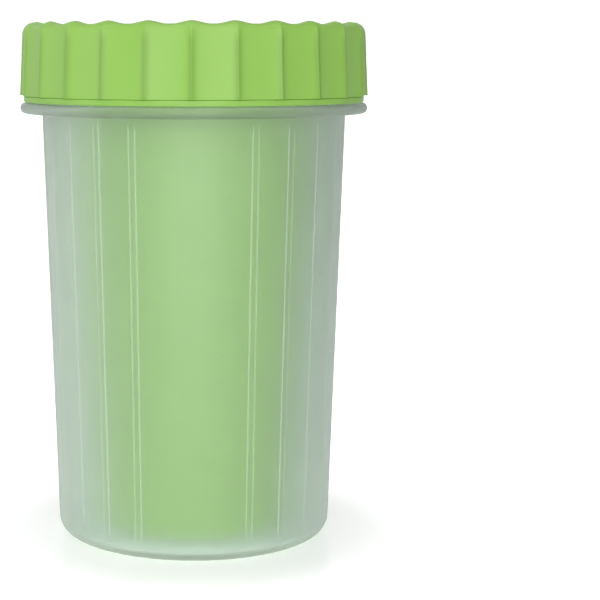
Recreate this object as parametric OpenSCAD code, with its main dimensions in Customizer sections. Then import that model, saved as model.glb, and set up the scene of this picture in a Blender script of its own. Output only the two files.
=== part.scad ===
// Paw washer cup: a frosted cup, a fluted ring that screws on its neck, and a soft brush
// insert that hangs inside the cup from the ring. The ring and the insert are open all the
// way through, so that a paw goes down between the bristles into the water.
// Sizes are in millimetres. The origin is the centre of the underside, and +Z is up the axis.

/* [Overall] */
// Height from the floor to the crests of the ring
total_h = 152; // [120:1:190]
// Outer radius of the cup's wall, just under its flange
cup_top_r = 44.3; // [36:0.1:56]
// How much smaller the wall's radius is at the floor
cup_taper = 4; // [0:0.1:6]

/* [Cup] */
// Thickness of the cup's wall and neck
wall_t = 1.6; // [1.2:0.1:2]
// Thickness of the floor
floor_t = 2.4; // [1.5:0.1:3]
// Radius of the round edge at the bottom of the wall
base_round = 4.8; // [2:0.1:5.5]
// Width of the foot that the cup stands on
foot_w = 5; // [3:0.5:12]
// Height of the hollow inside the foot
foot_hollow = 0.6; // [0.2:0.1:1]
// Thickness of the flange under the neck
flange_t = 3; // [1.8:0.1:4]
// How far the flange stands out from the neck
flange_w = 5.2; // [4:0.1:7]
// How much wider the neck is than the wall under the flange
neck_step = 1.5; // [0.5:0.1:2.5]

/* [Ribs of the cup] */
// Number of rib places, evenly spaced
rib_count = 24; // [12:1:36]
// Half the width of the plain panels at the front and back, where ribs are left out, in degrees
plain_half = 15; // [0:1:45]
// Width of a rib
rib_w = 1.9; // [1:0.1:2.4]
// How far a rib stands out from the wall
rib_h = 0.4; // [0.2:0.1:0.8]
// Distance from a rib's upper end to the flange
rib_gap = 1.3; // [0.5:0.1:4]

/* [Thread] */
// Rise of the thread in one turn
thread_pitch = 5; // [4:0.5:6]
// Length of each thread in turns
thread_turns = 1.25; // [0.75:0.25:1.5]
// How far the neck's thread stands out
thread_h = 1.5; // [1:0.1:2]
// Width of a thread at its crest
thread_crest = 1.1; // [0.8:0.1:1.3]
// Slope of a thread's sides, in degrees from level
thread_flank = 25; // [10:1:30]
// Distance from the rim to the upper end of the neck's thread
thread_below_rim = 2.6; // [2:0.1:3.5]

/* [Ring] */
// Height of the ring
ring_h = 22.9; // [18.5:0.1:28]
// Thickness of the ring's wall in the middle of a flute, at the bottom
ring_wall = 2.1; // [1.6:0.1:3]
// Number of flutes
flute_count = 25; // [18:1:28]
// Turn of the ridges when the ring is screwed down, in degrees
ridge_turn = 10.1; // [0:0.1:20]
// Depth of a flute below the ridges beside it
flute_depth = 1.4; // [0.8:0.1:1.8]
// Width of a ridge at its crest
ridge_w = 1.5; // [1:0.1:3]
// Height of the plain band below the flutes
band_h = 1.8; // [1:0.1:4]
// How far the ridges overhang the plain band
ridge_over = 1.2; // [0.5:0.1:1.6]
// Lean of the ring's side, in degrees
ring_lean = 3; // [0:0.5:3.5]
// Radius of the ring's outer top edge
crown_round = 3.5; // [2:0.1:4]
// Depth of the waves that the flutes make in the ring's top
wave_h = 1; // [0.3:0.1:1.2]
// How much lower the ring's top is at its mouth
crown_dip = 1.2; // [1.2:0.1:1.6]
// Height from the underside of the ring's roof to the crests
roof_t = 3.4; // [3:0.1:5]
// Length of the collar that hangs from the roof
collar_h = 8; // [5:0.5:10]
// Thickness of the collar
collar_t = 1.3; // [1:0.1:2]
// Radius of the collar's snap bead
snap_r = 0.5; // [0.3:0.1:0.6]

/* [Insert] */
// Thickness of the insert's rim, which seals between the ring and the cup
seal_t = 1.4; // [1:0.1:2.5]
// Thickness of the cuff around the collar
cuff_t = 1.3; // [1.1:0.1:1.8]
// Thickness of the sleeve
sleeve_t = 1.5; // [1:0.1:2.5]
// Length of the shoulder that narrows from the cuff to the sleeve
shoulder_h = 10; // [6:0.5:16]
// Gap between the sleeve and the cup's wall below the shoulder
sleeve_gap_top = 6.4; // [3:0.1:10]
// Gap between the sleeve and the cup's wall at the sleeve's lower end
sleeve_gap_base = 9.9; // [4:0.1:14]
// Gap between the sleeve and the cup's floor
sleeve_lift = 1; // [1:0.1:10]

/* [Bristles] */
// Bristles in one row
bristle_count = 20; // [12:1:22]
// Distance between rows
row_pitch = 7; // [5:0.5:12]
// Radius of the free space between the bristle tips
well_r = 13; // [10:0.5:16]
// Radius of a bristle at its root
bristle_root_r = 1.7; // [1:0.1:2]
// Radius of a bristle at its tip
bristle_tip_r = 0.9; // [0.5:0.1:1.2]
// Smooth length of sleeve below the first row and above the last
row_margin = 7; // [4:0.5:20]

/* [Clearances] */
// Between the ring's lower edge and the flange
skirt_clear = 0.3; // [0.2:0.1:1]
// Between each thread's crest and the wall that it faces
crest_clear = 0.3; // [0.2:0.05:0.5]
// Between the sides of the two threads that hold the ring down
flank_clear = 0.2; // [0.15:0.05:0.3]
// Between the ring's roof and the edge of the insert's rim
seal_clear = 0.5; // [0.3:0.1:1]
// Between the collar and the cuff
collar_clear = 0.15; // [0.1:0.05:0.3]
// Between the cuff and the inside of the neck
cuff_clear = 0.25; // [0.15:0.05:0.5]

/* [Hidden] */
$fn = 96;

cup_colour = [0.78, 0.83, 0.80, 0.55];
ring_colour = [0.58, 0.76, 0.38];
insert_colour = [0.50, 0.75, 0.30];

// Heights, from the top down
roof_z = total_h - roof_t;
rim_z = roof_z - seal_t;
ring_z = total_h - ring_h;
neck_z = ring_z - skirt_clear;
flange_z = neck_z - flange_t;
ledge_z = ring_z + band_h;
collar_z = roof_z - collar_h;
cuff_z = collar_z - 1.5 * collar_clear - snap_r;
shoulder_z = cuff_z - shoulder_h;
snap_z = collar_z + 2.5 * snap_r;
sleeve_z = floor_t + sleeve_lift;

// Radii, from the neck out to the flutes and in to the mouth
neck_r = cup_top_r + neck_step;
neck_bore_r = neck_r - wall_t;
flange_r = neck_r + flange_w;
thread_r = neck_r + thread_h;
cavity_r = thread_r + crest_clear;
cavity_top_r = neck_r + seal_clear;
trough_r = cavity_r + ring_wall;
ridge_r = trough_r + flute_depth;
band_r = ridge_r - ridge_over;
cuff_r = neck_bore_r - cuff_clear;
cuff_bore_r = cuff_r - cuff_t;
collar_r = cuff_bore_r - collar_clear;
mouth_r = collar_r - collar_t;

// The wall's outer radius at height z, and the angle of its slope
function wall_r(z) = cup_top_r - cup_taper * (flange_z - z) / flange_z;
wall_lean = atan(cup_taper / flange_z);
// The sleeve's outer radius at height z, below the shoulder
function sleeve_r(z) =
    let (
        top = wall_r(shoulder_z) - wall_t - sleeve_gap_top,
        base = wall_r(sleeve_z) - wall_t - sleeve_gap_base
    )
    base + (top - base) * (z - sleeve_z) / (shoulder_z - sleeve_z);
// The radius of the shoulder's S curve, from the sleeve at 0 to the cuff at 1
function shoulder_r(t) =
    sleeve_r(shoulder_z) + (cuff_r - sleeve_r(shoulder_z)) * (1 - cos(180 * t)) / 2;

// Thread: the number of steps in a turn, the run-out at each end, and the root's depth in the wall
thread_steps = 48;
runout_steps = 5;
root_sink = 0.5;
thread_top_z = rim_z - thread_below_rim;
thread_z = thread_top_z - thread_pitch * thread_turns;
// Height between the middles of the two threads, with the ring screwed down
thread_drop = thread_crest + (thread_r - neck_r - crest_clear) * tan(thread_flank) + flank_clear;

// Flutes: half a flute's width, and the radius of the cylinder that cuts it
flute_half_w = ridge_r * sin(180 / flute_count) - ridge_w / 2;
wave_half_w = (ridge_r - crown_round) * sin(180 / flute_count) - ridge_w / 2;
function scoop_r(half_w, depth) = (half_w * half_w + depth * depth) / (2 * depth);
// A cylinder's wall is this far in from its tangent at half a flute's width
ridge_fall = ridge_r - sqrt(ridge_r * ridge_r - flute_half_w * flute_half_w);

// Bristles: the number of rows that fits, and how far a root sinks into the sleeve
rows = floor((shoulder_z - sleeve_z - 2 * row_margin) / row_pitch) + 1;
bristle_sink = 0.2;

// Points along an arc, from one angle to the other
function arc(centre, r, from, to, n = 8) =
    [for (i = [0:n]) let (a = from + (to - from) * i / n) centre + r * [cos(a), sin(a)]];

// A trapezoid swept up a helix. Each end runs out into the wall that it stands on.
// root and crest are radii: the crest is outside the root on the neck, and inside it in the ring.
module thread(root, crest, z) {
    steps = round(thread_turns * thread_steps);
    side = sign(crest - root);
    foot = root - side * root_sink;
    function half_w(r) = thread_crest / 2 + abs(crest - r) * tan(thread_flank);
    function section(i) =
        let (
            grow = min(1, i / runout_steps, (steps - i) / runout_steps),
            top = root - side * root_sink / 4 + side * grow * (abs(crest - root) + root_sink / 4),
            inner = min(foot, top),
            outer = max(foot, top),
            a = 360 * i / thread_steps,
            mid = z + thread_pitch * i / thread_steps
        )
        [
            for (p = [[inner, -1], [outer, -1], [outer, 1], [inner, 1]])
            [p[0] * cos(a), p[0] * sin(a), mid + p[1] * half_w(p[0])]
        ];
    points = [for (i = [0:steps]) each section(i)];
    sides = [
        for (i = [0:steps - 1], j = [0:3])
        let (a = 4 * i + j, b = 4 * i + (j + 1) % 4)
        each [[a, b, b + 4], [a, b + 4, a + 4]]
    ];
    last = 4 * steps;
    ends = [[3, 2, 1], [3, 1, 0], [last, last + 1, last + 2], [last, last + 2, last + 3]];
    polyhedron(points = points, faces = concat(sides, ends));
}

// The cup's half section: underside, wall, flange, neck, rim, inside wall and floor
module cup_section() {
    lean_share = (1 - sin(wall_lean)) / cos(wall_lean);
    inside_round = base_round - wall_t;
    round_edge = 0.5;
    flange_edge = flange_t / 2 - 0.1;
    foot_r = wall_r(0) - base_round;
    polygon(concat(
        [[0, foot_hollow], [foot_r - foot_w, foot_hollow], [foot_r - foot_w + foot_hollow, 0]],
        arc([wall_r(0) - base_round * lean_share, base_round], base_round, -90, -wall_lean, 12),
        [[wall_r(flange_z), flange_z]],
        arc([flange_r - flange_edge, flange_z + flange_edge], flange_edge, -90, 0),
        arc([flange_r - flange_edge, neck_z - flange_edge], flange_edge, 0, 90),
        [[neck_r, neck_z]],
        arc([neck_r - round_edge, rim_z - round_edge], round_edge, 0, 90, 4),
        arc([neck_bore_r + round_edge, rim_z - round_edge], round_edge, 90, 180, 4),
        [[neck_bore_r, neck_z], [wall_r(flange_z) - wall_t, flange_z]],
        arc(
            [wall_r(floor_t) - wall_t - inside_round * lean_share, floor_t + inside_round],
            inside_round, -wall_lean, -90
        ),
        [[0, floor_t]]
    ));
}

module rib() {
    start_z = base_round + 0.6;
    length = (flange_z - rib_gap - start_z) / cos(wall_lean);
    translate([wall_r(start_z), 0, start_z])
        rotate([0, wall_lean, 0])
        translate([-wall_t / 2, -rib_w / 2, 0])
        cube([wall_t / 2 + rib_h, rib_w, length]);
}

module cup() {
    color(cup_colour) {
        rotate_extrude() cup_section();
        for (i = [0:rib_count - 1]) {
            turn = 360 * (i + 0.5) / rib_count;
            if (abs(cos(turn)) > sin(plain_half)) rotate(turn) rib();
        }
        thread(neck_r, thread_r, thread_z);
    }
}

// The ring's half section: band, side, crown, mouth, collar with its snap bead, roof and skirt
module ring_section() {
    side_top_r = ridge_r - (total_h - crown_round - ledge_z) * tan(ring_lean);
    lip_round = 0.8;
    edge = 0.4;
    crown_centre = [side_top_r - crown_round * cos(ring_lean), total_h - crown_round];
    crown_slope = atan(crown_dip / (crown_centre[0] - mouth_r));
    lip_z = total_h - crown_dip - lip_round;
    cavity_cone = cavity_r - cavity_top_r;
    cone_z = thread_top_z + thread_crest + thread_h;
    polygon(concat(
        arc([band_r - edge, ring_z + edge], edge, -90, 0, 3),
        [[band_r, ledge_z], [ridge_r - edge / 2, ledge_z], [ridge_r, ledge_z + edge / 2]],
        arc(crown_centre, crown_round, ring_lean, 90, 10),
        arc(crown_centre, crown_round, 90 + crown_slope / 2, 90 + crown_slope, 1),
        arc([mouth_r + lip_round, lip_z], lip_round, 90 + crown_slope, 180, 4),
        [[mouth_r, collar_z + edge], [mouth_r + edge, collar_z], [collar_r - edge, collar_z]],
        arc([collar_r, snap_z], snap_r, -90, 90, 6),
        [[collar_r, roof_z], [cavity_top_r, roof_z]],
        [[cavity_top_r, min(cone_z + cavity_cone, roof_z - edge)], [cavity_r, cone_z]],
        [[cavity_r, ring_z + edge], [cavity_r + edge, ring_z]]
    ));
}

// The cutter of one flute: a scoop that leans with the ring's side
module flute_cutter() {
    r = scoop_r(flute_half_w, flute_depth - ridge_fall);
    reach = 6;
    translate([trough_r, 0, ledge_z])
        rotate([0, -ring_lean, 0])
        linear_extrude(ring_h)
        intersection() {
            translate([r, 0]) circle(r);
            translate([0, -flute_half_w - ridge_w / 4]) square([reach, 2 * flute_half_w + ridge_w / 2]);
        }
}

// The cutter of one wave in the crown: a level scoop across the ring's top
module wave_cutter() {
    r = scoop_r(wave_half_w, wave_h);
    translate([mouth_r + collar_t / 2, 0, total_h - wave_h])
        rotate([90, 0, 90])
        linear_extrude(ridge_r - mouth_r)
        intersection() {
            translate([0, r]) circle(r);
            translate([-wave_half_w - ridge_w / 4, 0]) square([2 * wave_half_w + ridge_w / 2, 2 * wave_h]);
        }
}

module screw_ring() {
    color(ring_colour) {
        difference() {
            rotate_extrude() ring_section();
            for (i = [0:flute_count - 1]) rotate(ridge_turn + 360 * (i + 0.5) / flute_count) {
                flute_cutter();
                wave_cutter();
            }
        }
        thread(cavity_r, neck_r + crest_clear, thread_z - thread_drop);
    }
}

// The insert's half section: rim, cuff, shoulder and sleeve, open at the bottom
module sleeve_section() {
    n = 12;
    groove_r = snap_r + collar_clear;
    groove_turn = asin(collar_clear / groove_r);
    function shoulder(t, inset) = [shoulder_r(t) - inset, shoulder_z + shoulder_h * t];
    edge = sleeve_t / 3;
    polygon(concat(
        [[cuff_bore_r, roof_z], [neck_r, roof_z], [neck_r, rim_z], [cuff_r, rim_z]],
        [for (i = [0:n]) shoulder(1 - i / n, 0)],
        [[sleeve_r(sleeve_z), sleeve_z + edge], [sleeve_r(sleeve_z) - edge, sleeve_z]],
        [[sleeve_r(sleeve_z) - sleeve_t, sleeve_z]],
        [for (i = [0:n]) shoulder(i / n, sleeve_t)],
        [[cuff_bore_r, cuff_z]],
        arc([collar_r, snap_z], groove_r, -90 + groove_turn, 90 - groove_turn, 6)
    ));
}

module insert_sleeve() {
    color(insert_colour) rotate_extrude() sleeve_section();
}

module bristle(z) {
    root = sleeve_r(z) - sleeve_t + bristle_sink;
    translate([root, 0, z])
        rotate([0, -90, 0])
        cylinder(r1 = bristle_root_r, r2 = bristle_tip_r, h = root - well_r, $fn = 16);
}

module insert_bristles() {
    color(insert_colour)
        for (row = [0:rows - 1], i = [0:bristle_count - 1])
            rotate(360 * (i + (row % 2) / 2) / bristle_count)
                bristle(sleeve_z + row_margin + row * row_pitch);
}

cup();
screw_ring();
insert_sleeve();
insert_bristles();
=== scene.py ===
# %% [markdown]
# # A paw washer cup
# A frosted cup, a fluted ring that screws on its neck, and a soft brush insert that hangs inside.
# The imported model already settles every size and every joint. This lesson gives each piece the
# surface that a moulder would give it, one piece at a time, and never moves what is packed.

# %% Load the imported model
import math
import random

import bpy
from mathutils import Matrix, Vector


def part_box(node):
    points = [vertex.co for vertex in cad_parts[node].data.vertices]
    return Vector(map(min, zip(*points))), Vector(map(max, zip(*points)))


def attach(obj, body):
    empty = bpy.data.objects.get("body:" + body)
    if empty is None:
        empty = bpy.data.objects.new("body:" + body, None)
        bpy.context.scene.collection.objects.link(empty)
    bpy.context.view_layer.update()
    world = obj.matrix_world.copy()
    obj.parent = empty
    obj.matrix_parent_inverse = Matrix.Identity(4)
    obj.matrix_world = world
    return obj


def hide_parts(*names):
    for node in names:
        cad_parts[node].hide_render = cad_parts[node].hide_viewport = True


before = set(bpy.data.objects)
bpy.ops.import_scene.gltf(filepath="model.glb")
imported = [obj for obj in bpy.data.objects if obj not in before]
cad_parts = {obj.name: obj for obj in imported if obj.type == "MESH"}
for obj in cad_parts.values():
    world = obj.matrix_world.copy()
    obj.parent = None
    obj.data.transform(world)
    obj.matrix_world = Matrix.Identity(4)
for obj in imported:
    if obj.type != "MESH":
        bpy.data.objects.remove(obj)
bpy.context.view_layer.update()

MM = 0.001

# %% [markdown]
# ## Sizes
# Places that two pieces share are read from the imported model's boxes, so that nothing needs
# fitting by hand. A box can't tell the thickness of a wall, so the few sizes inside the
# pieces are written here once, in millimetres, with the names that a drawing would give them.
# The wall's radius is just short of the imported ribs' crests, since the ribs drawn here are lower.

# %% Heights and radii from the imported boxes, in metres
cup_low, cup_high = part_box("cup")
ring_low, ring_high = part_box("screw_ring")
sleeve_low, sleeve_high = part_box("insert_sleeve")
bristle_low, bristle_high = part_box("insert_bristles")

TOTAL_H = ring_high.z
RING_Z = ring_low.z
RIDGE_R = max(v.co.xy.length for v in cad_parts["screw_ring"].data.vertices)
RIM_Z = cup_high.z
FLANGE_R = cup_high.x
ROOF_Z = sleeve_high.z
NECK_R = sleeve_high.x
SLEEVE_Z = sleeve_low.z
print(f"ring {RIDGE_R / MM:.1f} mm in radius, from {RING_Z / MM:.1f} to {TOTAL_H / MM:.1f} mm")

# %% Walls and gaps, in metres
WALL_T = 1.6 * MM
FLOOR_T = 2.4 * MM
FLANGE_T = 3 * MM
SKIRT_CLEAR = 0.3 * MM
NECK_STEP = 1.2 * MM
WALL_TOP_R = NECK_R - NECK_STEP
WALL_TAPER = 4 * MM
NECK_Z = RING_Z - SKIRT_CLEAR
FLANGE_Z = NECK_Z - FLANGE_T
NECK_BORE_R = NECK_R - WALL_T


def wall_r(z):
    """Outer radius of the cup's wall at height z."""
    return WALL_TOP_R - WALL_TAPER * (FLANGE_Z - z) / FLANGE_Z


print(f"wall: {wall_r(FLANGE_Z) / MM:.1f} mm in radius at the flange, {wall_r(0) / MM:.1f} mm at the base")

# %% Threads, in metres
THREAD_PITCH = 5 * MM
THREAD_TURNS = 1.25
THREAD_H = 1.5 * MM
THREAD_CREST = 1.1 * MM
THREAD_FLANK = math.tan(math.radians(25))
THREAD_BELOW_RIM = 2.6 * MM
THREAD_Z = RIM_Z - THREAD_BELOW_RIM - THREAD_PITCH * THREAD_TURNS
THREAD_DROP = 1.86 * MM
CREST_CLEAR = 0.3 * MM
CAVITY_R = NECK_R + THREAD_H + CREST_CLEAR
CAVITY_TOP_R = NECK_R + 0.5 * MM
print(f"the ring's thread lies {THREAD_DROP / MM:.2f} mm below the neck's")

# %% Cuff and collar, in metres
CUFF_CLEAR = 0.25 * MM
CUFF_T = 1.3 * MM
CUFF_R = NECK_BORE_R - CUFF_CLEAR
CUFF_BORE_R = CUFF_R - CUFF_T
COLLAR_CLEAR = 0.15 * MM
COLLAR_T = 1.3 * MM
COLLAR_H = 8 * MM
COLLAR_R = CUFF_BORE_R - COLLAR_CLEAR
MOUTH_R = COLLAR_R - COLLAR_T
COLLAR_Z = ROOF_Z - COLLAR_H
SNAP_R = 0.5 * MM
SNAP_Z = COLLAR_Z + 2.5 * SNAP_R
print(f"the mouth is {MOUTH_R / MM:.1f} mm in radius, inside a cuff of {CUFF_R / MM:.1f} mm")

# %% [markdown]
# ## Camera
# A long lens stands a little above the cup's shoulder and looks slightly down, so the ring's
# mouth is seen edge on and the base shows as a shallow curve. It faces the axis squarely, which
# keeps both sides alike, and the frame is shifted instead, as with a view camera. The camera is
# made first, because each later step is judged through it.

# %% Make the camera
CAMERA_PLACE = Vector((0, -0.510, 0.1446))
CAMERA_PITCH = math.radians(8.35)
CAMERA_SHIFT = 0.177
CAMERA_LENS = 103.0

camera_data = bpy.data.cameras.new("camera")
camera_data.lens = CAMERA_LENS
camera_data.sensor_width = 36
camera_data.shift_x = CAMERA_SHIFT
camera = bpy.data.objects.new("camera", camera_data)
bpy.context.scene.collection.objects.link(camera)
bpy.context.scene.camera = camera
camera.location = CAMERA_PLACE
camera.rotation_euler = (math.pi / 2 - CAMERA_PITCH, 0, 0)
print(f"camera {CAMERA_PLACE.length:.2f} m from the cup's base")

# %% [markdown]
# ## Turned shapes
# Each piece is moulded, and each is nearly a body of revolution. So one helper turns a closed
# outline of (radius, height) points about the axis, as a lathe does. A second function may move
# each point a little, which makes ribs, flutes and threads part of the same closed skin. That
# gives cleaner joins and rounder edges than cutting shapes out of each other.

# %% Outline helpers
def arc(centre, radius, start, end, steps):
    """Points on an arc, as (radius, height) pairs, from one angle to the other in degrees."""
    turns = [math.radians(start + (end - start) * i / steps) for i in range(steps + 1)]
    return [(centre[0] + radius * math.cos(a), centre[1] + radius * math.sin(a)) for a in turns]


def run(start, end, spacing):
    """Points on a straight line, without its two ends, no further apart than spacing."""
    steps = max(1, math.ceil(math.dist(start, end) / spacing))
    return [tuple(a + (b - a) * i / steps for a, b in zip(start, end)) for i in range(1, steps)]


def smooth(x):
    """0 below 0, 1 above 1, and an S curve between."""
    x = min(1, max(0, x))
    return x * x * (3 - 2 * x)


print(f"a quarter circle in 6 steps is {len(arc((0, 0), 1, 0, 90, 6))} points")


# %% From points and faces to an object
def mesh_piece(name, points, faces, sharp_degrees=40):
    """A mesh object with smooth faces and sharp edges where it bends by more than the angle."""
    mesh = bpy.data.meshes.new(name)
    mesh.from_pydata(points, [], faces)
    mesh.validate()
    mesh.shade_smooth()
    mesh.set_sharp_from_angle(angle=math.radians(sharp_degrees))
    piece = bpy.data.objects.new(name, mesh)
    bpy.context.scene.collection.objects.link(piece)
    return piece


print("a piece is one mesh, with its normals split only where it bends sharply")


# %% The turning helper
def turned(name, outline, angles, move=None):
    """Turns an outline about Z into a closed mesh. Points on the axis become poles.
    The outline runs counter-clockwise, seen with the radius to the right and Z up."""
    points, rows = [], []
    for r, z in outline:
        pole = r < 1e-9
        rows.append([len(points) + (0 if pole else i) for i in range(len(angles))])
        for a in angles[:1] if pole else angles:
            radius, height = move(r, z, a) if move else (r, z)
            points.append((radius * math.cos(a), radius * math.sin(a), height))
    faces = []
    for k, row in enumerate(rows):
        last = rows[k - 1]
        if last[0] == last[-1] and row[0] == row[-1]:
            continue
        for i in range(len(angles)):
            j = (i + 1) % len(angles)
            corners = [last[i], last[j], row[j], row[i]]
            faces.append([c for n, c in enumerate(corners) if c not in corners[:n]])
    piece = mesh_piece(name, points, faces)
    print(f"{name}: {len(outline)} rows of {len(angles)} points, {len(faces)} faces")
    return piece


# %% Patterns that repeat round the axis
def spread_angles(count, radius, offsets, turn=0.0):
    """Angles for a pattern that repeats count times, crowded at the given offsets from its
    middle. The offsets are lengths along a circle of that radius, up to half the pattern."""
    pitch = 2 * math.pi / count
    inner = sorted({o for o in offsets} | {-o for o in offsets})
    return [pitch * (i + turn) + o / radius for i in range(count) for o in inner]


def from_nearest(angle, count, radius, turn=0.0):
    """Length along a circle to the nearest of count evenly spaced marks."""
    pitch = 2 * math.pi / count
    share = (angle / pitch - turn) % 1
    return min(share, 1 - share) * pitch * radius


print(f"on a circle 1 m in radius, 24 marks lie {2 * from_nearest(math.pi / 24, 24, 1):.3f} m apart")

# %% [markdown]
# ## Threads
# Both threads are one and a quarter turns of a low trapezoid that fades out at each end, as a
# mould for a hand-screwed lid has. A thread is only a change of radius along a helix, so the
# same function raises the neck's thread and the ring's. Each fades in over a tenth of a turn.

# %% The thread's height at a point
THREAD_FADE = 0.1


def thread_rise(z, angle, start_z):
    """How far the thread stands out at height z, for a thread whose helix starts at start_z."""
    turn = (angle / (2 * math.pi)) % 1
    nearest = round((z - start_z) / THREAD_PITCH - turn) + turn
    rise = 0.0
    for along in (nearest - 1, nearest, nearest + 1):
        if not 0 <= along <= THREAD_TURNS:
            continue
        away = abs(z - start_z - along * THREAD_PITCH)
        height = THREAD_H - max(0, away - THREAD_CREST / 2) / THREAD_FLANK
        fade = smooth(min(along, THREAD_TURNS - along) / THREAD_FADE)
        rise = max(rise, min(height, THREAD_H) * fade)
    return rise


print(f"thread rises {THREAD_PITCH / MM:.0f} mm a turn and stands out {THREAD_H / MM:.1f} mm")

# %% [markdown]
# ## The cup
# The cup is injection moulded in clear polypropylene with a blasted mould face. Its wall leans
# out by under two degrees so that it leaves the mould, and slim ribs run down it, except on a
# plain panel at the front and one at the back. The ribs are so low that they show mainly as two
# edges with a painted highlight, so the columns of the mesh crowd around them to draw each edge.

# %% Cup: outline
BASE_ROUND = 4.8 * MM
FOOT_W = 5 * MM
FOOT_HOLLOW = 0.6 * MM
FLANGE_EDGE = 1.4 * MM
RIM_EDGE = 0.5 * MM
THREAD_ROW = 0.3 * MM
WALL_LEAN = math.degrees(math.atan(WALL_TAPER / FLANGE_Z))
LEAN_SHARE = (1 - math.sin(math.radians(WALL_LEAN))) / math.cos(math.radians(WALL_LEAN))

RIB_COUNT = 24
PLAIN_HALF = math.radians(15)
RIB_W = 1.9 * MM
RIB_H = 0.06 * MM
RIB_EDGE = 0.2 * MM
RIB_FADE = 2.5 * MM
RIB_LOW = BASE_ROUND + 0.6 * MM
RIB_HIGH = FLANGE_Z - 1.3 * MM
RIB_END_STEPS = (0, 0.15, 0.35, 0.6, 0.85, 1)
SMALL_CORNER = 0.3 * MM


def cup_outline():
    """Underside, wall, flange, neck, rim, inside and floor."""
    foot_r = wall_r(0) - BASE_ROUND
    inside_round = BASE_ROUND - WALL_T
    base = (wall_r(0) - BASE_ROUND * LEAN_SHARE, BASE_ROUND)
    well = (wall_r(FLOOR_T) - WALL_T - inside_round * LEAN_SHARE, FLOOR_T + inside_round)
    flange = FLANGE_R - FLANGE_EDGE
    hollow_r = foot_r - FOOT_W - SMALL_CORNER
    under = [(0, FOOT_HOLLOW), (foot_r / 2, FOOT_HOLLOW), (hollow_r, FOOT_HOLLOW)]
    foot = [(foot_r - FOOT_W + FOOT_HOLLOW, 0), (foot_r - 1 * MM, 0)]
    wall_low = arc(base, BASE_ROUND, -90, -WALL_LEAN, 14)
    rib_foot = [(wall_r(z), z) for z in (RIB_LOW + step * RIB_FADE for step in RIB_END_STEPS)]
    rib_head = [(wall_r(z), z) for z in (RIB_HIGH - step * RIB_FADE for step in RIB_END_STEPS[::-1])]
    wall = [*rib_foot, *run(rib_foot[-1], rib_head[0], 10 * MM), *rib_head]
    wall_top_r = wall_r(FLANGE_Z)
    flange_turn = [(wall_top_r, FLANGE_Z - SMALL_CORNER), (wall_top_r + SMALL_CORNER, FLANGE_Z)]
    bead = arc((flange, FLANGE_Z + FLANGE_EDGE), FLANGE_EDGE, -90, 0, 7)
    bead += arc((flange, NECK_Z - FLANGE_EDGE), FLANGE_EDGE, 0, 90, 7)
    neck_foot = (NECK_R, NECK_Z)
    neck_head = (NECK_R, RIM_Z - RIM_EDGE)
    neck = [neck_foot, *run(neck_foot, neck_head, THREAD_ROW)]
    rim = arc((NECK_R - RIM_EDGE, RIM_Z - RIM_EDGE), RIM_EDGE, 0, 90, 5)
    rim += arc((NECK_BORE_R + RIM_EDGE, RIM_Z - RIM_EDGE), RIM_EDGE, 90, 180, 5)
    bore = [(NECK_BORE_R, NECK_Z), (wall_top_r - WALL_T, FLANGE_Z)]
    inside = [*run(bore[1], (well[0] + inside_round, well[1]), 15 * MM)]
    inside += arc(well, inside_round, -WALL_LEAN, -90, 8)
    outside = [*under, *foot, *wall_low, *wall, *flange_turn, *bead, *neck]
    return [*outside, *rim, *bore, *inside, (0, FLOOR_T)]


print(f"the cup's outline has {len(cup_outline())} points")


# %% Cup: ribs and thread as small moves of the outline's points
def rib_place(r, z, angle):
    """Distance from the nearest rib's middle, and how complete that rib is here, from 0 to 1."""
    on_wall = RIB_LOW < z < RIB_HIGH and r > wall_r(z) - WALL_T / 2
    if not on_wall or abs(math.cos(angle)) < math.sin(PLAIN_HALF):
        return RIB_W, 0
    end = smooth((z - RIB_LOW) / RIB_FADE) * smooth((RIB_HIGH - z) / RIB_FADE)
    return from_nearest(angle, RIB_COUNT, r, turn=0.5), end


def cup_move(r, z, angle):
    """Pushes the wall out at a rib and the neck out at its thread."""
    away, end = rib_place(r, z, angle)
    if end > 0:
        side = smooth((RIB_W / 2 + RIB_EDGE - away) / (2 * RIB_EDGE))
        return r + RIB_H * side * end, z
    if r > NECK_R - 0.01 * MM and NECK_Z + 0.1 * MM < z < RIM_Z - RIM_EDGE:
        return r + thread_rise(z, angle, THREAD_Z), z
    return r, z


COLUMN_R = wall_r(60 * MM)
half_pitch = math.pi * COLUMN_R / RIB_COUNT
rib_offsets = [0] + [RIB_W / 2 + RIB_EDGE * step for step in (-2.2, -1, -0.5, 0, 0.5, 1, 2.2)]
rib_offsets += [RIB_W / 2 + (half_pitch - RIB_W / 2) * share for share in (0.45, 0.7)]
cup_angles = spread_angles(RIB_COUNT, COLUMN_R, rib_offsets, 0.5)
cup = turned("cup_shell", cup_outline(), cup_angles, cup_move)

# %% [markdown]
# The ribs' edges get a painted highlight: they are made paler than the wall, standing in for
# the light that catches them. So they get a value of their own on the mesh, which the finish
# reads later. A value on the mesh follows the geometry exactly, which a pattern in the shader
# could not.

# %% Cup: how much painted highlight each point's edge takes
def edge_highlight_weight(point):
    """1 on a rib's edge, falling to almost 0 a third of a millimetre away."""
    away, end = rib_place(point.xy.length, point.z, math.atan2(point.y, point.x))
    return end * math.exp(-(((away - RIB_W / 2) / RIB_EDGE) ** 2))


# The painted edge highlight is stored on the cup's points for the finish.
painted_edge_highlight = cup.data.attributes.new("painted_edge_highlight", "FLOAT", "POINT")
for n, vertex in enumerate(cup.data.vertices):
    painted_edge_highlight.data[n].value = edge_highlight_weight(vertex.co)
print(f"{sum(value.value > 0.5 for value in painted_edge_highlight.data)} points lie on a rib's edge")

# %% [markdown]
# ## The ring
# The ring is moulded in opaque green polypropylene. Twenty-five shallow hollows run up its side
# and over its top edge, and the narrow ridges between them give a wet hand its grip. A ridge
# would be hard to cut cleanly, so its section is one formula: a small crest that falls away
# quickly and then slowly, between two wide, gentle hollows.

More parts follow.
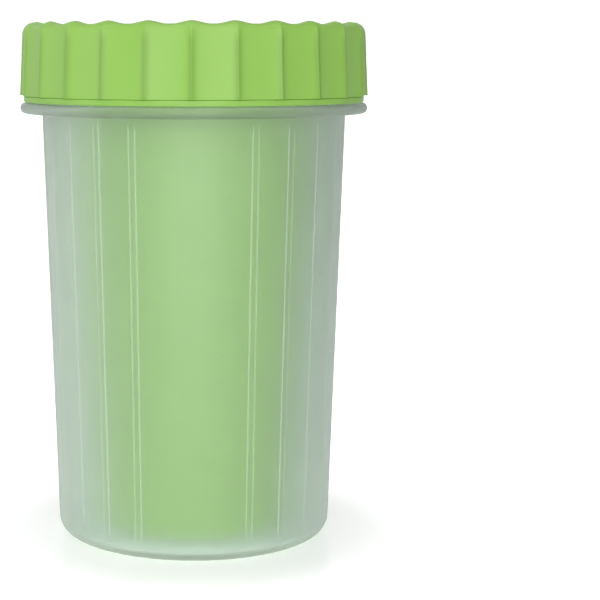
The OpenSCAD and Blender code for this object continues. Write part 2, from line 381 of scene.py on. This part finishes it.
# %% Ring: outline
FLUTE_COUNT = 25
RIDGE_TURN = math.radians(10.1) * FLUTE_COUNT / (2 * math.pi)
FLUTE_DEPTH = 1.1 * MM
WAVE_H = 0.95 * MM
BAND_H = 1.8 * MM
BAND_R = RIDGE_R - 1.15 * MM
LEDGE_Z = RING_Z + BAND_H
RING_LEAN = 3.0
CROWN_ROUND = 3.5 * MM
CROWN_DIP = 1.2 * MM
LIP_ROUND = 0.8 * MM
EDGE = 0.4 * MM
SIDE_TOP_R = RIDGE_R - (TOTAL_H - CROWN_ROUND - LEDGE_Z) * math.tan(math.radians(RING_LEAN))
CROWN_R = SIDE_TOP_R - CROWN_ROUND * math.cos(math.radians(RING_LEAN))
CROWN_Z = TOTAL_H - CROWN_ROUND
CROWN_SLOPE = math.degrees(math.atan(CROWN_DIP / (CROWN_R - MOUTH_R)))


def ring_outline():
    """Bottom edge, band, fluted side, crown, mouth, collar, roof and cavity."""
    lip_z = TOTAL_H - CROWN_DIP - LIP_ROUND
    cone_z = THREAD_Z + THREAD_PITCH * THREAD_TURNS + THREAD_CREST + THREAD_H
    band = arc((BAND_R - EDGE / 2, RING_Z + EDGE / 2), EDGE / 2, -90, 0, 4)
    band += arc((BAND_R - EDGE, LEDGE_Z - EDGE), EDGE, 0, 75, 5)
    ledge = arc((RIDGE_R - EDGE / 2, LEDGE_Z + EDGE / 2), EDGE / 2, -90, 0, 4)
    crown = arc((CROWN_R, CROWN_Z), CROWN_ROUND, RING_LEAN, 90, 14)
    side = run(ledge[-1], crown[0], 2.5 * MM)
    lip = arc((MOUTH_R + LIP_ROUND, lip_z), LIP_ROUND, 90 + CROWN_SLOPE, 180, 6)
    top = run(crown[-1], lip[0], 0.8 * MM)
    collar = [(MOUTH_R, COLLAR_Z + EDGE), (MOUTH_R + EDGE, COLLAR_Z), (COLLAR_R - EDGE, COLLAR_Z)]
    snap = arc((COLLAR_R, SNAP_Z), SNAP_R, -90, 90, 8)
    cone_top = (CAVITY_TOP_R, cone_z + CAVITY_R - CAVITY_TOP_R)
    roof = [(COLLAR_R, ROOF_Z), (CAVITY_TOP_R, ROOF_Z), cone_top]
    cavity_head = (CAVITY_R, cone_z)
    cavity_foot = (CAVITY_R, RING_Z + EDGE)
    cavity = [cavity_head, *run(cavity_head, cavity_foot, THREAD_ROW), cavity_foot]
    outside = [*band, *ledge, *side, *crown, *top, *lip]
    return [*outside, *collar, *snap, *roof, *cavity, (CAVITY_R + EDGE, RING_Z)]


print(f"the ring's outline has {len(ring_outline())} points")

# %% Ring: depth of the flutes and of the waves
FLUTE_PITCH = 2 * math.pi * RIDGE_R / FLUTE_COUNT
BUMP_H = 0.4 * MM
BUMP_W = 0.9 * MM
CREST_ROUND = 0.3 * MM
WAVE_POWER = 1.7


def flute_depth(away):
    """Depth of the side below the ridges' crests, by the distance from the nearest ridge."""
    from_crest = math.hypot(away, CREST_ROUND) - CREST_ROUND
    bump = BUMP_H * (1 - math.exp(-from_crest / BUMP_W))
    hollow = (FLUTE_DEPTH - BUMP_H) * (1 - (1 - away / (FLUTE_PITCH / 2)) ** 2)
    return bump + hollow


def wave_depth(away):
    """Depth of the crown below the crests, which is a softer curve than the side's."""
    return WAVE_H * math.sin(math.pi * away / FLUTE_PITCH) ** WAVE_POWER


print(f"half way between ridges the side lies {flute_depth(FLUTE_PITCH / 2) / MM:.2f} mm below the crests")


# %% Ring: turn the outline and move its points
def ring_move(r, z, angle):
    """Presses the flutes into the side and the waves into the crown, and adds the thread."""
    away = from_nearest(angle, FLUTE_COUNT, RIDGE_R, RIDGE_TURN)
    if z > LEDGE_Z - 0.001 * MM and r > CROWN_R:
        climb = max(0.0, math.atan2(z - CROWN_Z, r - CROWN_R))
        share = math.sin(climb) ** 2
        out = flute_depth(away) * math.cos(climb) * (1 - share)
        if z < LEDGE_Z + EDGE / 2:
            return min(r, RIDGE_R - out), z
        return r - out, z - wave_depth(away) * share
    if z > TOTAL_H - CROWN_DIP - LIP_ROUND and r > MOUTH_R:
        share = smooth((r - MOUTH_R) / (CROWN_R - MOUTH_R))
        return r, z - wave_depth(away) * share
    if abs(r - CAVITY_R) < 0.01 * MM:
        return r - thread_rise(z, angle, THREAD_Z - THREAD_DROP), z
    return r, z


ridge_offsets = [step * MM for step in (0, 0.12, 0.25, 0.4, 0.6, 0.85, 1.2, 1.7, 2.5, 3.8, 5.2)]
ring_angles = spread_angles(FLUTE_COUNT, RIDGE_R, ridge_offsets, RIDGE_TURN)
ring = turned("ring_shell", ring_outline(), ring_angles, ring_move)

# %% [markdown]
# The ridges' crests are painted a little darker than the hollows: a painted shade that stands
# in for the dark band along each crest. As on the cup's ribs, a value on the mesh carries that
# to the finish.

# %% Ring: how much painted shade each point's crest takes
CREST_SHADE_W = 1.1 * MM
CREST_SHADE_FADE = 4 * MM


# Painted shade: this weight darkens the green along each ridge's crest.
def crest_shade_weight(point):
    """1 on a ridge's crest, falling to 0 about two millimetres away. 0 on the crown and inside."""
    if point.z < LEDGE_Z - 0.001 * MM or point.xy.length < BAND_R - FLUTE_DEPTH:
        return 0.0
    on_side = smooth((CROWN_Z + CREST_SHADE_FADE / 2 - point.z) / CREST_SHADE_FADE)
    away = from_nearest(math.atan2(point.y, point.x), FLUTE_COUNT, RIDGE_R, RIDGE_TURN)
    return on_side * math.exp(-((away / CREST_SHADE_W) ** 2))


# The painted crest shade is stored on the ring's points for the finish.
painted_crest_shade = ring.data.attributes.new("painted_crest_shade", "FLOAT", "POINT")
for n, vertex in enumerate(ring.data.vertices):
    painted_crest_shade.data[n].value = crest_shade_weight(vertex.co)
print(f"{sum(value.value > 0.5 for value in painted_crest_shade.data)} points lie on a rubbed crest")

# %% [markdown]
# ## The insert
# The insert is one soft piece of silicone: a sleeve that hangs from a rim, and rows of blunt
# bristles that point at the axis. The sleeve is turned like the other pieces. Its S-shaped
# shoulder is a cosine curve, because rubber doesn't hold a sharp corner.

# %% Insert: sizes of the sleeve
SLEEVE_T = 1.5 * MM
SHOULDER_H = 10 * MM
SLEEVE_GAP_TOP = 6.7 * MM
SLEEVE_GAP_BASE = 10.2 * MM
CUFF_Z = COLLAR_Z - 1.5 * COLLAR_CLEAR - SNAP_R
SHOULDER_Z = CUFF_Z - SHOULDER_H
SLEEVE_TOP_R = wall_r(SHOULDER_Z) - WALL_T - SLEEVE_GAP_TOP
SLEEVE_BASE_R = wall_r(SLEEVE_Z) - WALL_T - SLEEVE_GAP_BASE


def sleeve_r(z):
    """Outer radius of the sleeve at height z, below its shoulder."""
    share = (z - SLEEVE_Z) / (SHOULDER_Z - SLEEVE_Z)
    return SLEEVE_BASE_R + (SLEEVE_TOP_R - SLEEVE_BASE_R) * share


print(f"sleeve {SLEEVE_TOP_R / MM:.1f} mm in radius at its shoulder, {SLEEVE_BASE_R / MM:.1f} mm at its end")


# %% Insert: turn the sleeve
def shoulder(share, inset):
    """A point on the shoulder's curve, from 0 at its foot to 1 at the cuff."""
    turn = (1 - math.cos(math.pi * share)) / 2
    return (SLEEVE_TOP_R + (CUFF_R - SLEEVE_TOP_R) * turn - inset, SHOULDER_Z + SHOULDER_H * share)


def sleeve_outline():
    """Top of the seal, cuff, shoulder and sleeve down the inside, then back up the outside."""
    steps = 16
    seal = [(NECK_R, ROOF_Z), (CUFF_BORE_R, ROOF_Z)]
    groove = arc((COLLAR_R, SNAP_Z), SNAP_R + COLLAR_CLEAR, 77, -77, 8)
    inner = [shoulder(1 - i / steps, SLEEVE_T) for i in range(steps + 1)]
    low_r = sleeve_r(SLEEVE_Z)
    end = arc((low_r - SLEEVE_T / 2, SLEEVE_Z + SLEEVE_T / 2), SLEEVE_T / 2, -180, 0, 8)
    outer = [shoulder(i / steps, 0) for i in range(steps + 1)]
    down = [*inner, *run(inner[-1], end[0], 8 * MM), *end]
    up = [*run(end[-1], outer[0], 8 * MM), *outer, (CUFF_R, RIM_Z), (NECK_R, RIM_Z)]
    return [*seal, *groove, (CUFF_BORE_R, CUFF_Z), *down, *up]


SLEEVE_COLUMNS = 192
sleeve_angles = [2 * math.pi * i / SLEEVE_COLUMNS for i in range(SLEEVE_COLUMNS)]
sleeve = turned("insert_sleeve_skin", sleeve_outline(), sleeve_angles)

# %% [markdown]
# ## The bristles
# Each bristle is a soft blunt finger that flares where it grows out of the sleeve. They are
# modelled one by one and not as hair, because they are few, thick and rubbery. Each one leans
# by up to two degrees, from a seeded draw, since silicone fingers never stand quite straight.

# %% Insert: sizes of the bristles
BRISTLE_COUNT = 20
ROW_PITCH = 7 * MM
BRISTLE_ROOT_R = 1.7 * MM
BRISTLE_TIP_R = 0.9 * MM
WELL_R = 13 * MM
ROW_LOW = bristle_low.z + BRISTLE_ROOT_R
ROW_HIGH = bristle_high.z - BRISTLE_ROOT_R
BRISTLE_ROWS = round((ROW_HIGH - ROW_LOW) / ROW_PITCH) + 1
ROOT_SUNK = 0.2 * MM
LEAN_MOST = math.radians(2)
BRISTLE_SIDES = 14
print(f"{BRISTLE_ROWS} rows of {BRISTLE_COUNT} bristles that leave a well {WELL_R / MM:.0f} mm in radius")


# %% Insert: one bristle
def bristle_rings(length):
    """(distance from the root, radius) down one bristle: flare, taper and round tip."""
    stations = [(0, 1.0), (0.02, 0.93), (0.06, 0.86), (0.3, 0.76), (0.6, 0.66)]
    straight = [(length * share, BRISTLE_ROOT_R * scale) for share, scale in stations]
    tip = [(length - BRISTLE_TIP_R * (1 - math.sin(a)), BRISTLE_TIP_R * math.cos(a))
           for a in (math.radians(15 * i) for i in range(6))]
    return straight + tip


def bristle_points(rings, turn, root, z):
    """The points of one bristle, turned by a matrix about its root and then set in place."""
    points = []
    for along, radius in rings:
        for k in range(BRISTLE_SIDES):
            a = 2 * math.pi * k / BRISTLE_SIDES
            spot = turn @ Vector((-along, radius * math.cos(a), radius * math.sin(a)))
            points.append(spot + Vector((root, 0, z)))
    return points


def bristle_faces(first, ring_count):
    """The faces of one bristle whose points start at first: its side, its root and its tip."""
    faces = []
    for n in range(ring_count - 1):
        low = first + n * BRISTLE_SIDES
        for k in range(BRISTLE_SIDES):
            a = low + k
            b = low + (k + 1) % BRISTLE_SIDES
            faces.append((b, a, a + BRISTLE_SIDES, b + BRISTLE_SIDES))
    last = first + (ring_count - 1) * BRISTLE_SIDES
    faces.append([first + k for k in range(BRISTLE_SIDES)])
    faces.append([last + k for k in reversed(range(BRISTLE_SIDES))])
    return faces


print(f"one bristle has {len(bristle_faces(0, len(bristle_rings(20 * MM))))} faces")


# %% Insert: every bristle, in one mesh
def bristle_mesh():
    """The points and faces of every bristle."""
    draw = random.Random(7)
    points, faces = [], []
    for row in range(BRISTLE_ROWS):
        z = ROW_LOW + (ROW_HIGH - ROW_LOW) * row / (BRISTLE_ROWS - 1)
        root = sleeve_r(z) - SLEEVE_T + ROOT_SUNK
        rings = bristle_rings(root - WELL_R)
        for i in range(BRISTLE_COUNT):
            lean = Matrix.Rotation(draw.uniform(-LEAN_MOST, LEAN_MOST), 3, "Y")
            swing = Matrix.Rotation(draw.uniform(-LEAN_MOST, LEAN_MOST), 3, "Z")
            angle = 2 * math.pi * (i + (row % 2) / 2) / BRISTLE_COUNT
            place = Matrix.Rotation(angle, 3, "Z")
            faces += bristle_faces(len(points), len(rings))
            points += [place @ point for point in bristle_points(rings, lean @ swing, root, z)]
    return points, faces


bristles = mesh_piece("insert_bristle_set", *bristle_mesh())
print(f"{BRISTLE_ROWS * BRISTLE_COUNT} bristles, {len(bristles.data.polygons)} faces")

# %% [markdown]
# ## Finishes
# A finish here is a shader that starts from what the material really is. Every colour is an
# sRGB hex value that one function turns to linear, and one small function adds a node with its
# settings and its links, so that each finish reads as a short list.

# %% Colour and node helpers
def linear(hex_colour):
    """An sRGB hex colour as linear red, green, blue and alpha."""
    parts = [int(hex_colour[i:i + 2], 16) / 255 for i in (1, 3, 5)]
    return [c / 12.92 if c <= 0.04045 else ((c + 0.055) / 1.055) ** 2.4 for c in parts] + [1]


def node(tree, kind, settings=None, **inputs):
    """Adds a node. settings are its properties; inputs are values or the sockets to link.
    An input is named as in the node, or at3 for the one at place 3."""
    made = tree.nodes.new(kind)
    for name, value in (settings or {}).items():
        setattr(made, name, value)
    for name, value in inputs.items():
        key = int(name[2:]) if name.startswith("at") else name.replace("_", " ")
        socket = made.inputs[key]
        if isinstance(value, bpy.types.NodeSocket):
            tree.links.new(value, socket)
        else:
            socket.default_value = value
    return made


def new_finish(name):
    """An empty material and its node tree."""
    material = bpy.data.materials.new(name)
    material.use_nodes = True
    material.node_tree.nodes.clear()
    return material, material.node_tree


print("middle grey in linear light:", round(linear("#808080")[0], 3))

# %% [markdown]
# ## Frosted polypropylene
# Natural polypropylene is milky, and a blasted mould leaves a fine matt grain on it. Light goes
# through but scatters, so what is inside shows only as soft colour. Most of the shader is rough
# transmission, and the rest is a pale diffuse veil. Lamps would be shut out by such a wall, so
# rays towards a lamp pass it with a slight tint. The real grain is finer than 0.1 mm, which
# wouldn't show, so it is drawn 0.8 mm wide, and a 25 mm cloud varies the tint as resin does.
# Along the ribs' edges less light goes through, which makes them paler: a painted highlight.

# %% Frosted polypropylene
def frosted_polypropylene():
    material, tree = new_finish("frosted_polypropylene")
    space = node(tree, "ShaderNodeTexCoord").outputs["Object"]
    grain = node(tree, "ShaderNodeTexNoise", Vector=space, Scale=1 / (0.8 * MM), Detail=3).outputs["Fac"]
    cloud = node(tree, "ShaderNodeTexNoise", Vector=space, Scale=1 / (25 * MM), Detail=1).outputs["Fac"]
    highlight_mask = node(tree, "ShaderNodeAttribute", {"attribute_name": "painted_edge_highlight"}).outputs["Fac"]
    bump = node(tree, "ShaderNodeBump", Height=grain, Strength=0.12, Distance=0.05 * MM)
    tint = node(tree, "ShaderNodeMix", {"data_type": "RGBA"}, Factor=cloud,
                at6=linear("#E5F1EA"), at7=linear("#EBF6EF")).outputs[2]
    matt = node(tree, "ShaderNodeMapRange", Value=grain, To_Min=0.38, To_Max=0.46).outputs["Result"]
    # Painted highlight: less transmission along the ribs' edges paints them paler.
    through = node(tree, "ShaderNodeMapRange", Value=highlight_mask, To_Min=0.92, To_Max=0.66).outputs["Result"]
    wall = node(tree, "ShaderNodeBsdfPrincipled", Base_Color=tint, Roughness=matt, IOR=1.49,
                Transmission_Weight=through, Normal=bump.outputs["Normal"])
    clear = node(tree, "ShaderNodeBsdfTransparent", Color=linear("#EFF3EC"))
    lamp_ray = node(tree, "ShaderNodeLightPath").outputs["Is Shadow Ray"]
    shown = node(tree, "ShaderNodeMixShader", at0=lamp_ray, at1=wall.outputs[0], at2=clear.outputs[0])
    node(tree, "ShaderNodeOutputMaterial", Surface=shown.outputs[0])
    return material


# %% [markdown]
# ## Green polypropylene
# The ring is coloured polypropylene from a polished mould: satin, with a broad soft highlight
# and a very faint orange-peel. Lumps 1.2 mm wide break up the highlight slightly, an 18 mm cloud
# varies the colour, and the ridges' crests are painted a darker green as painted shade.

# %% Green polypropylene
def green_polypropylene():
    material, tree = new_finish("green_polypropylene")
    space = node(tree, "ShaderNodeTexCoord").outputs["Object"]
    peel = node(tree, "ShaderNodeTexNoise", Vector=space, Scale=1 / (1.2 * MM), Detail=2).outputs["Fac"]
    cloud = node(tree, "ShaderNodeTexNoise", Vector=space, Scale=1 / (18 * MM), Detail=1).outputs["Fac"]
    bump = node(tree, "ShaderNodeBump", Height=peel, Strength=0.10, Distance=0.06 * MM)
    base_green = node(tree, "ShaderNodeMix", {"data_type": "RGBA"}, Factor=cloud,
                 at6=linear("#90C154"), at7=linear("#96C75B")).outputs[2]
    # Painted shade: the crests' weight mixes the green towards a darker #83B04A.
    crest_shade_mask = node(tree, "ShaderNodeAttribute", {"attribute_name": "painted_crest_shade"}).outputs["Fac"]
    colour = node(tree, "ShaderNodeMix", {"data_type": "RGBA"}, Factor=crest_shade_mask,
                  at6=base_green, at7=linear("#83B04A")).outputs[2]
    satin = node(tree, "ShaderNodeMapRange", Value=peel, To_Min=0.42, To_Max=0.52).outputs["Result"]
    skin = node(tree, "ShaderNodeBsdfPrincipled", Base_Color=colour, Roughness=satin, IOR=1.49,
                Normal=bump.outputs["Normal"])
    node(tree, "ShaderNodeOutputMaterial", Surface=skin.outputs[0])
    return material


# %% [markdown]
# ## Green silicone
# Silicone rubber has a lower gloss than the ring. Dust and handling leave it slightly uneven,
# so its roughness and its colour vary in patches about 9 mm wide, over a fine 0.6 mm texture.

# %% Green silicone
def green_silicone():
    material, tree = new_finish("green_silicone")
    space = node(tree, "ShaderNodeTexCoord").outputs["Object"]
    patch = node(tree, "ShaderNodeTexNoise", Vector=space, Scale=1 / (9 * MM), Detail=2).outputs["Fac"]
    fine = node(tree, "ShaderNodeTexNoise", Vector=space, Scale=1 / (0.6 * MM), Detail=2).outputs["Fac"]
    bump = node(tree, "ShaderNodeBump", Height=fine, Strength=0.15, Distance=0.04 * MM)
    colour = node(tree, "ShaderNodeMix", {"data_type": "RGBA"}, Factor=patch,
                  at6=linear("#8AB43E"), at7=linear("#91BA44")).outputs[2]
    dull = node(tree, "ShaderNodeMapRange", Value=patch, To_Min=0.50, To_Max=0.62).outputs["Result"]
    skin = node(tree, "ShaderNodeBsdfPrincipled", Base_Color=colour, Roughness=dull, IOR=1.41,
                Normal=bump.outputs["Normal"])
    node(tree, "ShaderNodeOutputMaterial", Surface=skin.outputs[0])
    return material


# %% Give each piece its finish and its body, and hide the imported node that it stands for
silicone = green_silicone()
for piece, material, body, packed, slot in (
    (cup, frosted_polypropylene(), "cup", "cup", "frosted_cup"),
    (ring, green_polypropylene(), "ring", "screw_ring", "green_ring"),
    (sleeve, silicone, "insert", "insert_sleeve", "green_silicone"),
    (bristles, silicone, "insert", "insert_bristles", "green_silicone"),
):
    piece.data.materials.append(material)
    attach(piece, body)
    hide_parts(packed)
    print(f"{piece.name} rides on {body} and stands for {packed}")

# %% [markdown]
# ## Floor and light
# The cup stands on a plain pale floor in front of a lit white backdrop. White all round would
# flatten the flutes, so only the backdrop is bright, more so to the left, and the rest of the
# room is dim, while the camera sees all of it as plain white. The floor is slightly glossy. For
# the camera it also glows more with distance, which leaves just a faint shadow at the base, and
# for everything else it glows evenly, as a light table does, which lifts the frosted base. One
# wide lamp in front does most of the lighting. A weaker lamp on the left brightens that side of
# each flute, and one overhead lights the crown.

# %% Floor
FLOOR_HALF = 30.0
FLOOR_Z = -0.02 * MM
GLOW_NEAR = 0.34
GLOW_FAR = 1.0
GLOW_NEAR_R = 45 * MM
GLOW_FAR_R = 100 * MM
TABLE_LIGHT = 0.36


def white_floor():
    material, tree = new_finish("white_floor")
    place = node(tree, "ShaderNodeTexCoord").outputs["Object"]
    reach = node(tree, "ShaderNodeVectorMath", {"operation": "LENGTH"}, at0=place).outputs["Value"]
    glow = node(tree, "ShaderNodeMapRange", {"interpolation_type": "SMOOTHSTEP"}, Value=reach,
                From_Min=GLOW_NEAR_R, From_Max=GLOW_FAR_R,
                To_Min=GLOW_NEAR, To_Max=GLOW_FAR).outputs["Result"]
    seen = node(tree, "ShaderNodeLightPath").outputs["Is Camera Ray"]
    lit = node(tree, "ShaderNodeMix", Factor=seen, at2=TABLE_LIGHT, at3=glow).outputs[0]
    paint = node(tree, "ShaderNodeBsdfPrincipled", Base_Color=linear("#E6E7E7"), Roughness=0.28,
                 Emission_Color=(1, 1, 1, 1), Emission_Strength=lit)
    node(tree, "ShaderNodeOutputMaterial", Surface=paint.outputs[0])
    return material


corners = [(x * FLOOR_HALF, y * FLOOR_HALF, FLOOR_Z) for x, y in ((-1, -1), (1, -1), (1, 1), (-1, 1))]
floor = mesh_piece("floor", corners, [(0, 1, 2, 3)])
floor.data.materials.append(white_floor())
print(f"floor {2 * FLOOR_HALF:.0f} m wide, {-FLOOR_Z / MM:.2f} mm below the foot")

# %% White room
ROOM_LIGHT = 0.13
BACKDROP_LIGHT = 0.85
ROOM_SEEN = 1.1
BACKDROP_WAY = (-0.34, 0.94, 0)
scene = bpy.context.scene
scene.view_settings.view_transform = "Standard"
room = bpy.data.worlds.new("white_room")
scene.world = room
room.use_nodes = True
room_tree = room.node_tree
way = node(room_tree, "ShaderNodeTexCoord").outputs["Generated"]
facing = node(room_tree, "ShaderNodeVectorMath", {"operation": "DOT_PRODUCT"},
              at0=way, at1=BACKDROP_WAY).outputs["Value"]
level = node(room_tree, "ShaderNodeMapRange", {"interpolation_type": "SMOOTHSTEP"}, Value=facing,
             From_Min=0.1, From_Max=0.95, To_Min=ROOM_LIGHT, To_Max=BACKDROP_LIGHT).outputs["Result"]
seen = node(room_tree, "ShaderNodeLightPath").outputs["Is Camera Ray"]
strength = node(room_tree, "ShaderNodeMix", Factor=seen, at2=level, at3=ROOM_SEEN).outputs[0]
background = room_tree.nodes["Background"]
background.inputs["Color"].default_value = (1, 1, 1, 1)
room_tree.links.new(strength, background.inputs["Strength"])
print(f"backdrop {BACKDROP_LIGHT}, rest of the room {ROOM_LIGHT}")


# %% Lamps
LAMP_DISTANCE = 1.2
LAMP_SIZE = 0.8


def soft_lamp(name, azimuth, elevation, distance, size, power):
    """A square lamp that faces the cup. Azimuth 0 is in front and 90 is on the right."""
    data = bpy.data.lights.new(name, "AREA")
    data.shape = "SQUARE"
    data.size = size
    data.energy = power
    lamp = bpy.data.objects.new(name, data)
    turn, climb = math.radians(azimuth), math.radians(elevation)
    away = Vector((math.sin(turn) * math.cos(climb), -math.cos(turn) * math.cos(climb), math.sin(climb)))
    lamp.location = Vector((0, 0, TOTAL_H / 2)) + away * distance
    lamp.rotation_euler = (-away).to_track_quat("-Z", "Y").to_euler()
    scene.collection.objects.link(lamp)
    print(f"{name}: {distance} m away, {size} m wide, {power} W")
    return lamp


for name, azimuth, elevation, power in (
    ("key_lamp", 0, 18, 7.6),
    ("left_lamp", -85, 10, 2.2),
    ("top_lamp", 0, 75, 5),
):
    soft_lamp(name, azimuth, elevation, LAMP_DISTANCE, LAMP_SIZE, power)
